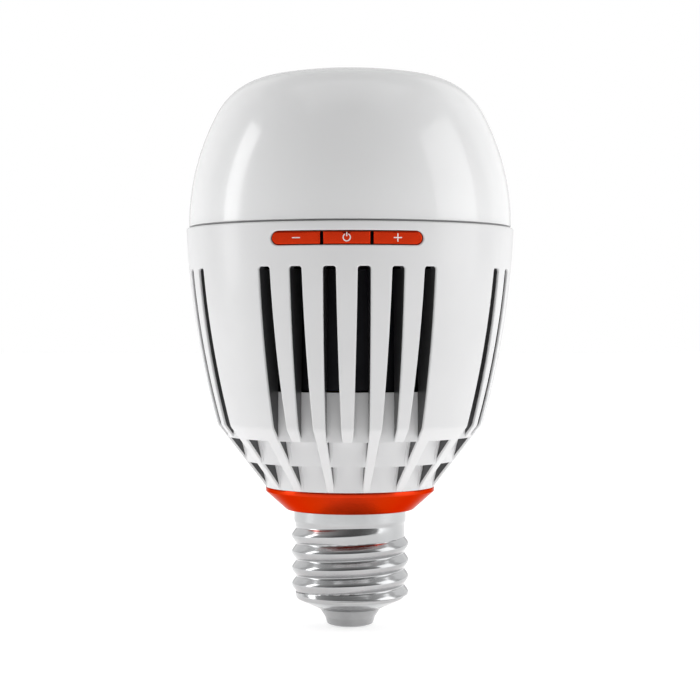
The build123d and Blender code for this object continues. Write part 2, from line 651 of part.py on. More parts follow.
# ----------------------------------------------------------------- collar ring
with BuildPart() as collar_ring:
    with BuildSketch(Plane.XZ):
        with BuildLine():
            Polyline(
                (COLLAR_RADIUS + BASE_FIT, RING_FOOT_Z),
                (RING_FOOT_RADIUS, RING_FOOT_Z),
                (NECK_RADIUS, NECK_Z - RING_BAND),
                (NECK_RADIUS, NECK_Z),
                (NECK_TUBE_RADIUS + BASE_FIT, NECK_Z),
                (NECK_TUBE_RADIUS + BASE_FIT, SHELL_TOP_Z + BASE_FIT),
                (COLLAR_RADIUS + BASE_FIT, SHELL_TOP_Z + BASE_FIT),
                close=True,
            )
        make_face()
    revolve(axis=Axis.Z)
    foot_edges = collar_ring.edges().filter_by(GeomType.CIRCLE).group_by(Axis.Z)[0]
    fillet(foot_edges.sort_by(SortBy.RADIUS)[-1], radius=RING_FOOT_ROUND)
    top_edges = collar_ring.edges().filter_by(GeomType.CIRCLE).group_by(Axis.Z)[-1]
    fillet(top_edges.sort_by(SortBy.RADIUS)[-1], radius=EDGE)
save(collar_ring, "collar_ring")

# --------------------------------------------------------------------- E27 base
# the rounded thread is wound in equal steps, each under one turn, and stands on the root
thread_base = THREAD_ROOT - SHELL_WALL / 2
with BuildPart() as thread_step:
    with BuildLine():
        spiral = Helix(
            pitch=THREAD_PITCH,
            height=THREAD_PITCH * THREAD_TURNS / THREAD_STEPS,
            radius=thread_base,
            center=(0, 0, THREAD_FOOT_Z),
        )
    with BuildSketch(Plane(origin=spiral @ 0, x_dir=(1, 0, 0), z_dir=spiral % 0)):
        with BuildLine():
            half_base = THREAD_PITCH * THREAD_SHARE / 2
            crest = ThreePointArc((0, -half_base), (THREAD_CREST - thread_base, 0), (0, half_base))
            Line(crest @ 1, crest @ 0)
        make_face()
    sweep(path=spiral, is_frenet=True)

with BuildPart() as screw_shell:
    with BuildSketch(Plane.XZ):
        with BuildLine():
            Polyline(
                (CONE_FOOT_RADIUS, CONE_FOOT_Z),
                (CONE_TOP_RADIUS, CONE_TOP_Z),
                (THREAD_ROOT, CONE_TOP_Z + SHELL_WALL),
                (THREAD_ROOT, COLLAR_FOOT_Z - SHELL_WALL),
                (COLLAR_RADIUS, COLLAR_FOOT_Z),
                (COLLAR_RADIUS, SHELL_TOP_Z),
                (COLLAR_RADIUS - SHELL_WALL, SHELL_TOP_Z),
                (COLLAR_RADIUS - SHELL_WALL, COLLAR_FOOT_Z),
                (THREAD_ROOT - SHELL_WALL, COLLAR_FOOT_Z - SHELL_WALL),
                (THREAD_ROOT - SHELL_WALL, CONE_TOP_Z + SHELL_WALL * 1.5),
                (CONE_FOOT_RADIUS - SHELL_WALL, CONE_FOOT_Z + SHELL_WALL * 0.6),
                (CONE_FOOT_RADIUS - SHELL_WALL, CONE_FOOT_Z),
                close=True,
            )
        make_face()
    revolve(axis=Axis.Z)
    for index in range(THREAD_STEPS):
        step_z = index * THREAD_PITCH * THREAD_TURNS / THREAD_STEPS
        step_angle = index * 360 * THREAD_TURNS / THREAD_STEPS
        with Locations(Location((0, 0, step_z), (0, 0, step_angle))):
            add(thread_step.part)
save(screw_shell, "screw_shell")

with BuildPart() as insulator:
    with BuildSketch(Plane.XZ):
        with BuildLine():
            Polyline(
                (TIP_RADIUS + BASE_FIT, INSULATOR_FOOT_Z),
                (INSULATOR_FOOT, INSULATOR_FOOT_Z),
                (INSULATOR_WAIST, INSULATOR_WAIST_Z),
                (CONE_FOOT_RADIUS - BASE_FIT, CONE_FOOT_Z),
                (CONE_FOOT_RADIUS - SHELL_WALL - BASE_FIT, CONE_FOOT_Z),
                (CONE_FOOT_RADIUS - SHELL_WALL - BASE_FIT, CONE_FOOT_Z + SHELL_WALL),
                (THREAD_ROOT - SHELL_WALL - 6 * BASE_FIT, CONE_TOP_Z + SHELL_WALL * 1.5),
                (THREAD_ROOT - SHELL_WALL - 6 * BASE_FIT, INSULATOR_TOP_Z),
                (RIVET_RADIUS, INSULATOR_TOP_Z),
                (RIVET_RADIUS, TIP_HEIGHT),
                (TIP_RADIUS + BASE_FIT, TIP_HEIGHT),
                close=True,
            )
        make_face()
    revolve(axis=Axis.Z)
save(insulator, "insulator")

with BuildPart() as centre_contact:
    with BuildSketch(Plane.XY):
        Circle(TIP_RADIUS)
    extrude(amount=TIP_HEIGHT)
    fillet(centre_contact.edges().group_by(Axis.Z)[0], radius=TIP_ROUND)
    with BuildSketch(Plane.XY.offset(TIP_HEIGHT)):
        Circle(RIVET_RADIUS)
    extrude(amount=RIVET_TOP - TIP_HEIGHT)
save(centre_contact, "centre_contact")

# ---------------------------------------------------------------------- battery
cell_foot_z = HOLDER_FOOT_Z + HOLDER_PLATE + CONTACT_GAP
cell_top_z = cell_foot_z + CELL_LENGTH
holder_top_z = cell_top_z + CONTACT_GAP + HOLDER_PLATE
spine_y = CELL_Y + CELL_RADIUS + CELL_FIT

with BuildPart() as battery_cell:
    with BuildSketch(Plane.XY.offset(cell_foot_z)):
        with Locations((0, CELL_Y)):
            Circle(CELL_RADIUS)
    extrude(amount=CELL_LENGTH - CELL_BUTTON)
    fillet(battery_cell.edges().filter_by(GeomType.CIRCLE), radius=CELL_BUTTON / 2)
    with BuildSketch(Plane.XY.offset(cell_top_z - CELL_BUTTON)):
        with Locations((0, CELL_Y)):
            Circle(CELL_RADIUS / 3)
    extrude(amount=CELL_BUTTON)
save(battery_cell, "battery_cell")

with BuildPart() as battery_holder:
    for plate_z in (HOLDER_FOOT_Z, holder_top_z - HOLDER_PLATE):
        with BuildSketch(Plane.XY.offset(plate_z)):
            with Locations((0, CELL_Y)):
                Circle(CELL_RADIUS)
            with Locations((0, spine_y)):
                Rectangle(2 * HOLDER_HALF_WIDTH, 2 * HOLDER_SPINE)
        extrude(amount=HOLDER_PLATE)
    with BuildSketch(Plane.XY.offset(HOLDER_FOOT_Z)):
        with Locations((0, spine_y + HOLDER_SPINE / 2)):
            Rectangle(2 * HOLDER_HALF_WIDTH, HOLDER_SPINE)
    extrude(amount=holder_top_z - HOLDER_FOOT_Z)
save(battery_holder, "battery_holder")

with BuildPart() as battery_contacts:
    low_sheet_z = HOLDER_FOOT_Z + HOLDER_PLATE
    high_sheet_z = holder_top_z - HOLDER_PLATE - CONTACT_SHEET
    for sheet_z in (low_sheet_z, high_sheet_z):
        with BuildSketch(Plane.XY.offset(sheet_z)):
            with Locations((0, CELL_Y)):
                Circle(CELL_RADIUS * 0.6)
            with Locations((0, CELL_Y - CELL_RADIUS / 2)):
                Rectangle(CELL_RADIUS / 2, CELL_RADIUS)
        extrude(amount=CONTACT_SHEET)
    # a raised dome on each sheet presses on the cell
    for dome_z in (low_sheet_z + CONTACT_SHEET, cell_top_z):
        with BuildSketch(Plane.XY.offset(dome_z)):
            with Locations((0, CELL_Y)):
                Circle(CELL_RADIUS / 4)
        extrude(amount=CONTACT_GAP - CONTACT_SHEET)
save(battery_contacts, "battery_contacts")

# ------------------------------------------------------ driver board and its parts
driver_face_y = DRIVER_Y - DRIVER_THICKNESS / 2      # side that carries the tall parts
driver_back_y = DRIVER_Y + DRIVER_THICKNESS / 2
driver_plane = Plane.XZ.offset(-driver_face_y)       # its normal points forwards
driver_top_z = DRIVER_FOOT_Z + DRIVER_HEIGHT

with BuildPart() as driver_board:
    with BuildSketch(driver_plane):
        with Locations((0, DRIVER_FOOT_Z + DRIVER_HEIGHT / 2)):
            RectangleRounded(2 * DRIVER_HALF_WIDTH, DRIVER_HEIGHT, 1)
    extrude(amount=-DRIVER_THICKNESS)
save(driver_board, "driver_board")


def on_driver(places, depth, outline):
    """Parts that stand on the driver board's face, one at each (x, height above its foot)."""
    with BuildPart() as parts:
        with BuildSketch(driver_plane):
            with Locations(*[(x, DRIVER_FOOT_Z + up) for x, up in places]):
                add(outline)
        extrude(amount=depth)
    return parts


with BuildPart() as transformer_core:
    with BuildSketch(driver_plane):
        with Locations((TRANSFORMER_X, DRIVER_FOOT_Z + TRANSFORMER_UP)):
            Rectangle(TRANSFORMER_WIDTH, TRANSFORMER_WIDTH)
            Rectangle(TRANSFORMER_WINDOW, TRANSFORMER_WINDOW, mode=Mode.SUBTRACT)
    extrude(amount=TRANSFORMER_DEPTH)
save(transformer_core, "transformer_core")

with BuildPart() as transformer_coil:
    with BuildSketch(driver_plane):
        with Locations((TRANSFORMER_X, DRIVER_FOOT_Z + TRANSFORMER_UP)):
            RectangleRounded(TRANSFORMER_WINDOW - 2 * CELL_FIT, TRANSFORMER_WINDOW - 2 * CELL_FIT, 1)
    extrude(amount=TRANSFORMER_DEPTH + 1)
save(transformer_coil, "transformer_coil")

capacitors = on_driver(CAPACITOR_PLACES, CAPACITOR_HEIGHT, Circle(CAPACITOR_RADIUS, mode=Mode.PRIVATE))
save(capacitors, "capacitors")
choke = on_driver([CHOKE_PLACE], CHOKE_HEIGHT, Circle(CHOKE_RADIUS, mode=Mode.PRIVATE))
save(choke, "choke")
fuse = on_driver([FUSE_PLACE], FUSE_WIDTH, Rectangle(FUSE_WIDTH, FUSE_LENGTH, mode=Mode.PRIVATE))
save(fuse, "fuse")
control_chips = on_driver(CHIP_PLACES, CHIP_HEIGHT, Rectangle(CHIP_LENGTH, CHIP_WIDTH, mode=Mode.PRIVATE))
save(control_chips, "control_chips")
wireless_outline = Rectangle(WIRELESS_LENGTH, WIRELESS_WIDTH, mode=Mode.PRIVATE)
wireless_board = on_driver([WIRELESS_PLACE], WIRELESS_BOARD, wireless_outline)
save(wireless_board, "wireless_board")

with BuildPart() as wireless_shield:
    with BuildSketch(driver_plane.offset(WIRELESS_BOARD)):
        with Locations((WIRELESS_PLACE[0] + SHIELD_SIDE, DRIVER_FOOT_Z + WIRELESS_PLACE[1])):
            RectangleRounded(SHIELD_LENGTH, SHIELD_WIDTH, BOARD_CORNER)
    extrude(amount=SHIELD_HEIGHT)
save(wireless_shield, "wireless_shield")

# --------------------------------------------------------------------- the keys
key_back_y = KEY_STOP_Y + KEY_SLACK          # front of a key's flange
key_plane = Plane.XZ.offset(-key_back_y)     # its normal points out of the bulb
key_end_x = POCKET_LENGTH / 2 - KEY_GAP
key_height = POCKET_HEIGHT - 2 * KEY_GAP
split_edge_x = KEY_SPLIT_X - KEY_SPLIT / 2   # half the middle key's length
outer_key_x = (KEY_SPLIT_X + KEY_SPLIT / 2 + key_end_x) / 2
outer_key_length = key_end_x - KEY_SPLIT_X - KEY_SPLIT / 2
keys = {
    "minus": (-outer_key_x, outer_key_length),
    "power": (0.0, 2 * split_edge_x),
    "plus": (outer_key_x, outer_key_length),
}


def icon_outline(name):
    """The sign on a key: a dash, a cross of two dashes, or an open ring with a bar."""
    with BuildSketch() as sign:
        if name == "power":
            ring_radius = ICON_SIZE / 2
            Circle(ring_radius)
            Circle(ring_radius - ICON_LINE, mode=Mode.SUBTRACT)
            with Locations((0, ring_radius)):
                Rectangle(3.2 * ICON_LINE, ring_radius * 1.2, mode=Mode.SUBTRACT)
            with Locations((0, ring_radius * 0.75)):
                Rectangle(ICON_LINE, ring_radius)
        else:
            Rectangle(ICON_SIZE, ICON_LINE)
            if name == "plus":
                Rectangle(ICON_LINE, ICON_SIZE)
    return sign.sketch


def housing_solid(inset):
    """The housing's outer shape moved in by inset, as one solid."""
    with BuildPart() as shape:
        with BuildSketch(Plane.XZ):
            add(housing_face(inset, ROW_1_FOOT))
        revolve(axis=Axis.Z)
    return shape.part


key_face = housing_solid(KEY_RECESS)
icon_floor = housing_solid(KEY_RECESS + ICON_DEPTH)

for name, (column, length) in keys.items():
    with BuildPart() as recess:
        with BuildSketch(key_plane):
            with Locations((column, KEY_Z)):
                add(icon_outline(name))
        extrude(amount=HOUSING_RADIUS)
        add(icon_floor, mode=Mode.SUBTRACT)

    with BuildPart() as icon:
        add(recess.part)
        add(key_face, mode=Mode.INTERSECT)
    save(icon, f"{name}_icon")

    with BuildPart() as key:
        with BuildSketch(key_plane):
            with Locations((0, KEY_Z)):
                SlotOverall(2 * key_end_x, key_height)
            with Locations((column, KEY_Z)):
                Rectangle(length, key_height, mode=Mode.INTERSECT)
        extrude(amount=HOUSING_RADIUS)
        add(key_face, mode=Mode.INTERSECT)
        rim_depth = -key_back_y / 8
        face_edges = [edge for edge in key.edges() if (edge @ 0.5).Y < key.part.bounding_box().min.Y + rim_depth]
        face_edges = [edge for edge in face_edges if abs((edge @ 0).Y - (edge @ 1).Y) < rim_depth]
        fillet(face_edges, radius=KEY_EDGE)
        add(recess.part, mode=Mode.SUBTRACT)
        with BuildSketch(key_plane):
            with Locations((column, KEY_Z)):
                Rectangle(length, key_height + 2 * KEY_FLANGE_RISE)
        extrude(amount=-KEY_FLANGE)
        with BuildSketch(key_plane.offset(-KEY_FLANGE)):
            with Locations((column, KEY_Z)):
                Circle(KEY_POST_RADIUS)
        extrude(amount=-KEY_POST)
    save(key, f"{name}_key")

# -------------------------------------------------- switches and the button board
stem_tip_y = key_back_y + KEY_FLANGE + KEY_POST + KEY_SLACK
switch_face_y = stem_tip_y + STEM_REACH
board_face_y = switch_face_y + SWITCH_DEPTH
switch_places = [(column, KEY_Z) for column, length in keys.values()]

with BuildPart() as switch_bodies:
    with BuildSketch(Plane.XZ.offset(-switch_face_y)):
        with Locations(*switch_places):
            RectangleRounded(SWITCH_SIZE, SWITCH_SIZE, 0.5)
    extrude(amount=-SWITCH_DEPTH)
    with BuildSketch(Plane.XZ.offset(-switch_face_y)):
        with Locations(*switch_places):
            Circle(STEM_RADIUS + STEM_FIT)
    extrude(amount=-(STEM_LENGTH - STEM_REACH + KEY_TRAVEL + STEM_FIT), mode=Mode.SUBTRACT)
save(switch_bodies, "switch_bodies")

for name, (column, length) in keys.items():
    with BuildPart() as stem:
        with BuildSketch(Plane.XZ.offset(-stem_tip_y)):
            with Locations((column, KEY_Z)):
                Circle(STEM_RADIUS)
        extrude(amount=-STEM_LENGTH)
    save(stem, f"{name}_stem")

board_foot_z = SEAM_Z - BUTTON_BOARD_FOOT
board_head_z = SEAM_Z - BUTTON_BOARD_HEAD
with BuildPart() as button_board:
    with BuildSketch(Plane.XZ.offset(-board_face_y)):
        with Locations((0, (board_foot_z + board_head_z) / 2)):
            Rectangle(2 * BUTTON_BOARD_HALF, board_head_z - board_foot_z)
    extrude(amount=-BUTTON_BOARD)
save(button_board, "button_board")

# ------------------------------------------------------------------------ leads
# flat ribbon from the button board to the driver board, both ends square on
ribbon_y = board_face_y + BUTTON_BOARD
ribbon_z = board_foot_z + RIBBON_WIDTH / 4
ribbon_path = [
    (ribbon_y, ribbon_z),
    (ribbon_y + RIBBON_RUN, ribbon_z),
    (driver_face_y - RIBBON_RUN, ribbon_z - RIBBON_DROP),
    (driver_face_y, ribbon_z - RIBBON_DROP),
]
with BuildPart() as button_ribbon:
    with BuildSketch(Plane.YZ.offset(-RIBBON_WIDTH / 2)):
        with BuildLine() as ribbon_line:
            FilletPolyline(*ribbon_path, radius=RIBBON_WIDTH / 2)
            offset(amount=RIBBON_THICKNESS, side=Side.LEFT)
        make_face()
    extrude(amount=RIBBON_WIDTH)
save(button_ribbon, "button_ribbon")

live_lead = lead(
    [
        (0, 0, RIVET_TOP),
        (0, 0, RIVET_TOP + 8),
        (1.5, DRIVER_Y, DRIVER_FOOT_Z - 8),
        (1.5, DRIVER_Y, DRIVER_FOOT_Z),
    ],
    5,
)
save(live_lead, "live_lead")

shell_bore = THREAD_ROOT - SHELL_WALL
neutral_lead = lead(
    [
        (-shell_bore + BASE_FIT, 0, RIVET_TOP + 4),
        (-shell_bore + 4, 0, RIVET_TOP + 4),
        (-shell_bore + 4, DRIVER_Y, DRIVER_FOOT_Z - 8),
        (-shell_bore + 4, DRIVER_Y, DRIVER_FOOT_Z),
    ],
    2.5,
)
save(neutral_lead, "neutral_lead")

# battery leads: from each contact's tab, over to the driver board's back
tab_y = CELL_Y - CELL_RADIUS
for name, tab_z, run in (
    ("battery_plus_lead", high_sheet_z + CONTACT_SHEET / 2, -7),
    ("battery_minus_lead", low_sheet_z + CONTACT_SHEET / 2, 7),
):
    middle_y = (tab_y + driver_back_y) / 2
    wire = lead(
        [
            (0, tab_y, tab_z),
            (0, middle_y, tab_z),
            (0, middle_y, tab_z + run),
            (0, driver_back_y, tab_z + run),
        ],
        LEAD_RADIUS,
        LEAD_RADIUS / 2,
    )
    save(wire, name)

# lamp leads: from the driver board's top edge through the heat sink to the lamp board
for name, side in (("lamp_plus_lead", 1), ("lamp_minus_lead", -1)):
    wire = lead(
        [
            (side * 4.5, DRIVER_Y, driver_top_z),
            (side * 4.5, DRIVER_Y, driver_top_z + 4),
            (side * LEAD_HOLE / 2, 0, SINK_Z - 3),
            (side * LEAD_HOLE / 2, 0, LAMP_Z),
        ],
        2,
    )
    save(wire, name)
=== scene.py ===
import json
import math

import bmesh
import bpy
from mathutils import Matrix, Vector


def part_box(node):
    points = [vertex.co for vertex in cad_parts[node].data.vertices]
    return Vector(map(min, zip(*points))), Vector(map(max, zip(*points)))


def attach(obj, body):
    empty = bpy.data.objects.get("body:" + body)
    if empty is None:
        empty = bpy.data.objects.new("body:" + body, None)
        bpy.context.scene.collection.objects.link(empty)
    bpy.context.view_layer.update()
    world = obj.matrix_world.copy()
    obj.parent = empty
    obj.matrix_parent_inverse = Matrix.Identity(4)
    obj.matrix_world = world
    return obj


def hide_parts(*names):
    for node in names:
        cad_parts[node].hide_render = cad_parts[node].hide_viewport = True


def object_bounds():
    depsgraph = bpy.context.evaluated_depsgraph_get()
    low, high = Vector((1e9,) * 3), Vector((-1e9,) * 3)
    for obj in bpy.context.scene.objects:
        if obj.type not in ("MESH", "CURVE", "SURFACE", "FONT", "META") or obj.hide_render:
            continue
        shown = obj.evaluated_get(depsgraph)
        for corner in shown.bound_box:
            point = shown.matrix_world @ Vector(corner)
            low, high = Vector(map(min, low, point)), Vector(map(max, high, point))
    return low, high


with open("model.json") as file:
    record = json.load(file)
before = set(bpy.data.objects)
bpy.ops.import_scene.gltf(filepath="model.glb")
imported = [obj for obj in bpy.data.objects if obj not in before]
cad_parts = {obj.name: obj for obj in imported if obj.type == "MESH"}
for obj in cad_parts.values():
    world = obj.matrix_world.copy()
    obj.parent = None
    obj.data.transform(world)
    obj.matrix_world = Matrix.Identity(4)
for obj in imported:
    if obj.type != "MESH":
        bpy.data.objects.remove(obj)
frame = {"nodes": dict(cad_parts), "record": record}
cad_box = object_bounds()
nodes = frame["nodes"]
MM = 0.001
TURN = 2 * math.pi

# ------------------------------------------------------------------ node helpers


NOISE_MIDDLE = (0.3, 0.7)         # where most values of a noise texture lie


def set_range(ramp, from_min, from_max, to_min, to_max):
    """The four limits of a map range node."""
    limits = {"From Min": from_min, "From Max": from_max, "To Min": to_min, "To Max": to_max}
    for socket, number in limits.items():
        ramp.inputs[socket].default_value = number


class Graph:
    """A new material with a Principled shader, and short calls for its nodes."""

    def __init__(self, name):
        self.material = bpy.data.materials.new(name)
        self.material.use_nodes = True
        self.tree = self.material.node_tree
        self.shader = self.tree.nodes["Principled BSDF"]
        self.coords = self.tree.nodes.new("ShaderNodeTexCoord").outputs["Object"]

    def add(self, kind, **values):
        """A node; a value whose name is a socket goes on the socket, the others on the node."""
        node = self.tree.nodes.new(kind)
        for key, value in values.items():
            if key in node.inputs:
                node.inputs[key].default_value = value
            else:
                setattr(node, key, value)
        return node

    def link(self, out, to):
        self.tree.links.new(out, to)

    def set(self, **values):
        for key, value in values.items():
            self.shader.inputs[key.replace("_", " ")].default_value = value

    def noise(self, scale, detail=3.0, stretch=(1, 1, 1)):
        """Noise over the object's own coordinates, which are metres."""
        mapping = self.add("ShaderNodeMapping")
        mapping.inputs["Scale"].default_value = stretch
        self.link(self.coords, mapping.inputs["Vector"])
        texture = self.add("ShaderNodeTexNoise", Scale=scale, Detail=detail)
        self.link(mapping.outputs["Vector"], texture.inputs["Vector"])
        return texture.outputs["Fac"]

    def spread(self, value, low, high):
        """Maps the noise's middle range to low .. high."""
        ramp = self.add("ShaderNodeMapRange", clamp=True)
        set_range(ramp, *NOISE_MIDDLE, low, high)
        self.link(value, ramp.inputs["Value"])
        return ramp.outputs["Result"]

    def tint(self, value, dark, light):
        """The base colour runs from dark to light with value."""
        mix = self.add("ShaderNodeMix", data_type="RGBA")
        mix.inputs[6].default_value = (*dark, 1)
        mix.inputs[7].default_value = (*light, 1)
        self.link(value, mix.inputs[0])
        self.link(mix.outputs[2], self.shader.inputs["Base Color"])

    def rough(self, value, low, high):
        self.link(self.spread(value, low, high), self.shader.inputs["Roughness"])

    def bump(self, value, height):
        """Height in metres between the noise's low and high places."""
        bump = self.add("ShaderNodeBump", Strength=1.0, Distance=height)
        self.link(value, bump.inputs["Height"])
        self.link(bump.outputs["Normal"], self.shader.inputs["Normal"])


def moulded(name, dark, light, rough, grain, height, coat):
    """Moulded plastic: slight mottling, uneven gloss and a fine surface grain under a thin gloss."""
    g = Graph(name)
    g.tint(g.spread(g.noise(60, 2.0), 0.0, 1.0), dark, light)
    g.rough(g.noise(220, 4.0), *rough)
    g.bump(g.noise(grain, 2.0), height)
    g.set(Coat_Weight=coat, Coat_Roughness=0.15, Specular_IOR_Level=0.5)
    return g.material


def white_plastic():
    dark, light = (0.74, 0.74, 0.745), (0.77, 0.77, 0.775)
    return moulded("white_plastic_skin", dark, light, (0.3, 0.38), grain=1600, height=1.2e-6, coat=0.2)


def dark_plastic():
    dark, light = (0.055, 0.055, 0.057), (0.07, 0.07, 0.072)
    return moulded("dark_cage_plastic", dark, light, (0.28, 0.36), grain=3200, height=2e-6, coat=0.5)


def red_lacquer():
    """Clear red lacquer over bright metal: deep where nothing shines in it, vivid at its edges."""
    g = Graph("red_lacquer_metal")
    g.tint(g.spread(g.noise(70, 2.0), 0.0, 1.0), (0.57, 0.031, 0.006), (0.63, 0.037, 0.008))
    g.rough(g.noise(400, 3.0), 0.18, 0.24)
    g.bump(g.noise(1800, 2.0), 4e-7)
    g.set(Metallic=1.0)
    g.shader.inputs["Specular Tint"].default_value = (0.76, 0.42, 0.38, 1)
    return g.material


def opal_dome():
    """Opal diffuser: glossy skin over a cloudy, light-spreading body."""
    g = Graph("opal_diffuser")
    g.tint(g.spread(g.noise(35, 2.0), 0.0, 1.0), (0.86, 0.863, 0.867), (0.89, 0.893, 0.897))
    g.rough(g.noise(120, 3.0), 0.16, 0.22)
    g.bump(g.noise(700, 2.0), 8e-7)
    g.set(Subsurface_Weight=0.25, Subsurface_Scale=0.004, Coat_Weight=0.4, Coat_Roughness=0.06)
    g.shader.inputs["Subsurface Radius"].default_value = (1.0, 1.0, 1.0)
    return g.material


def metal(name, dark, light, rough, stretch, scratch_height):
    """Plated metal with drawn or turned streaks."""
    g = Graph(name)
    g.tint(g.spread(g.noise(90, 3.0), 0.0, 1.0), dark, light)
    streaks = g.noise(700, 5.0, stretch)
    g.rough(streaks, *rough)
    g.bump(streaks, scratch_height)
    g.set(Metallic=1.0)
    return g.material


def nickel():
    dark, light = (0.42, 0.425, 0.43), (0.52, 0.525, 0.53)
    return metal("nickel_plate", dark, light, (0.12, 0.2), stretch=(1, 1, 6), scratch_height=4e-7)


def black_anodised():
    dark, light = (0.014, 0.014, 0.016), (0.022, 0.022, 0.025)
    return metal("black_anodised", dark, light, (0.36, 0.5), stretch=(1, 1, 4), scratch_height=2e-6)


def zinc_steel():
    dark, light = (0.42, 0.42, 0.43), (0.55, 0.55, 0.56)
    return metal("zinc_steel", dark, light, (0.25, 0.4), stretch=(3, 1, 1), scratch_height=3e-6)


def grey_glass():
    """Fused insulator: grey, glossy, with a cloudy tone."""
    g = Graph("insulator_glaze")
    g.tint(g.spread(g.noise(260, 3.0), 0.0, 1.0), (0.33, 0.33, 0.335), (0.40, 0.40, 0.405))
    g.rough(g.noise(400, 2.0), 0.12, 0.2)
    g.bump(g.noise(900, 2.0), 3e-6)
    g.set(Coat_Weight=0.5, Coat_Roughness=0.05)
    return g.material


def plain(name, colour, rough, height=3e-6):
    """A small inner part: its colour slightly mottled, with a fine grain."""
    g = Graph(name)
    dark, light = [c * 0.85 for c in colour], [min(1, c * 1.1) for c in colour]
    g.tint(g.spread(g.noise(300, 3.0), 0.0, 1.0), dark, light)
    g.rough(g.noise(500, 3.0), rough * 0.85, min(1, rough * 1.15))
    g.bump(g.noise(2500, 2.0), height)
    return g.material


materials = {
    "white_plastic": white_plastic(),
    "dark_plastic": dark_plastic(),
    "opal_plastic": opal_dome(),
    "seal_rubber": plain("seal_rubber_grey", (0.26, 0.26, 0.265), 0.6),
    "black_aluminium": black_anodised(),
    "steel": zinc_steel(),
    "thermal_grey": plain("thermal_pad_grey", (0.35, 0.37, 0.4), 0.7),
    "board_white": plain("white_solder_mask", (0.75, 0.75, 0.73), 0.35),
    "led_yellow": plain("led_phosphor", (0.75, 0.6, 0.12), 0.4),
    "red_lacquer": red_lacquer(),
    "nickel": nickel(),
    "insulator_grey": grey_glass(),
    "cell_wrap": plain("cell_wrap_blue", (0.03, 0.12, 0.3), 0.3),
    "board_green": plain("green_solder_mask", (0.01, 0.06, 0.03), 0.35),
    "board_black": plain("black_solder_mask", (0.012, 0.014, 0.018), 0.4),
    "ferrite": plain("ferrite_black", (0.03, 0.03, 0.032), 0.5, height=8e-6),
    "coil_tape": plain("coil_tape_yellow", (0.6, 0.42, 0.05), 0.4),
    "capacitor_sleeve": plain("capacitor_sleeve_black", (0.015, 0.015, 0.03), 0.3),
    "lead_white": plain("ribbon_white", (0.7, 0.7, 0.68), 0.45),
    "icon_white": plain("icon_inlay_white", (0.85, 0.85, 0.85), 0.35),
    "stem_plastic": plain("stem_black", (0.03, 0.03, 0.03), 0.4),
    "lead_red": plain("lead_red_pvc", (0.4, 0.01, 0.01), 0.4),
    "lead_black": plain("lead_black_pvc", (0.02, 0.02, 0.02), 0.4),
}
slot_of = {part["node"]: part["material_slot"] for part in frame["record"]["subparts"]}


def dress(obj, slot):
    """One finish over the whole piece."""
    obj.data.materials.clear()
    obj.data.materials.append(materials[slot])


for name, node in nodes.items():
    dress(node, slot_of[name])

# ------------------------------------------------------------------- mesh pieces
SEGMENTS = 360                   # steps round a large turned piece
INSULATOR_SEGMENTS = 192
SCREW_SEGMENTS = 288
SHARP = math.radians(40)         # faces that meet at more than this keep a sharp edge
CORNER_STEPS = 6                 # straight pieces in a rounded corner
CORNER_REACH = 0.49              # the most of a side that one rounded corner may use up
ON_AXIS = 1e-6                   # a smaller radius, in millimetres, is a point on the axis


def arc_points(centre, radius, start, end, steps):
    """Points of an arc in (radius, height), angles in degrees."""
    return [
        (
            centre[0] + radius * math.cos(math.radians(start + (end - start) * i / steps)),
            centre[1] + radius * math.sin(math.radians(start + (end - start) * i / steps)),
        )
        for i in range(steps + 1)
    ]


def rounded(points, radii, steps=CORNER_STEPS):
    """A closed outline in (radius, height) with its corners rounded by the given radii."""
    out = []
    for i, point in enumerate(points):
        before, here, after = Vector(points[i - 1]), Vector(point), Vector(points[(i + 1) % len(points)])
        radius = radii[i]
        to_before, to_after = (before - here), (after - here)
        if radius <= 0:
            out.append(tuple(here))
            continue
        half = to_before.angle(to_after) / 2
        longest = CORNER_REACH * min(to_before.length, to_after.length)
        reach = min(radius / math.tan(half), longest)
        start, end = here + to_before.normalized() * reach, here + to_after.normalized() * reach
        for k in range(steps + 1):
            t = k / steps
            out.append(tuple((1 - t) ** 2 * start + 2 * t * (1 - t) * here + t**2 * end))
    return out


def rounded_corners(corners):
    """The rounded outline of corners given as (radius, height, rounding)."""
    return rounded([corner[:2] for corner in corners], [corner[2] for corner in corners])


def ring_of_vertices(build, radius_of, z, segments):
    """One ring at height z; radius_of gives the radius in millimetres at each part of a turn."""
    ring = []
    for k in range(segments):
        radius = radius_of(k / segments) * MM
        angle = TURN * k / segments
        ring.append(build.verts.new((radius * math.cos(angle), radius * math.sin(angle), z * MM)))
    return ring


def join_rows(build, low, high):
    """Faces between two rings, or between a ring and a point on the axis."""
    for k in range(max(len(low), len(high))):
        n = (k + 1) % max(len(low), len(high))
        if len(low) == 1:
            build.faces.new((low[0], high[n], high[k]))
        elif len(high) == 1:
            build.faces.new((low[k], low[n], high[0]))
        else:
            build.faces.new((low[k], low[n], high[n], high[k]))


def piece_from(build, name):
    """The finished mesh as a smooth-shaded object of the scene."""
    mesh = bpy.data.meshes.new(name)
    bmesh.ops.recalc_face_normals(build, faces=build.faces)
    build.to_mesh(mesh)
    build.free()
    for polygon in mesh.polygons:
        polygon.use_smooth = True
    mesh.set_sharp_from_angle(angle=SHARP)
    piece = bpy.data.objects.new(name, mesh)
    bpy.context.scene.collection.objects.link(piece)
    return piece


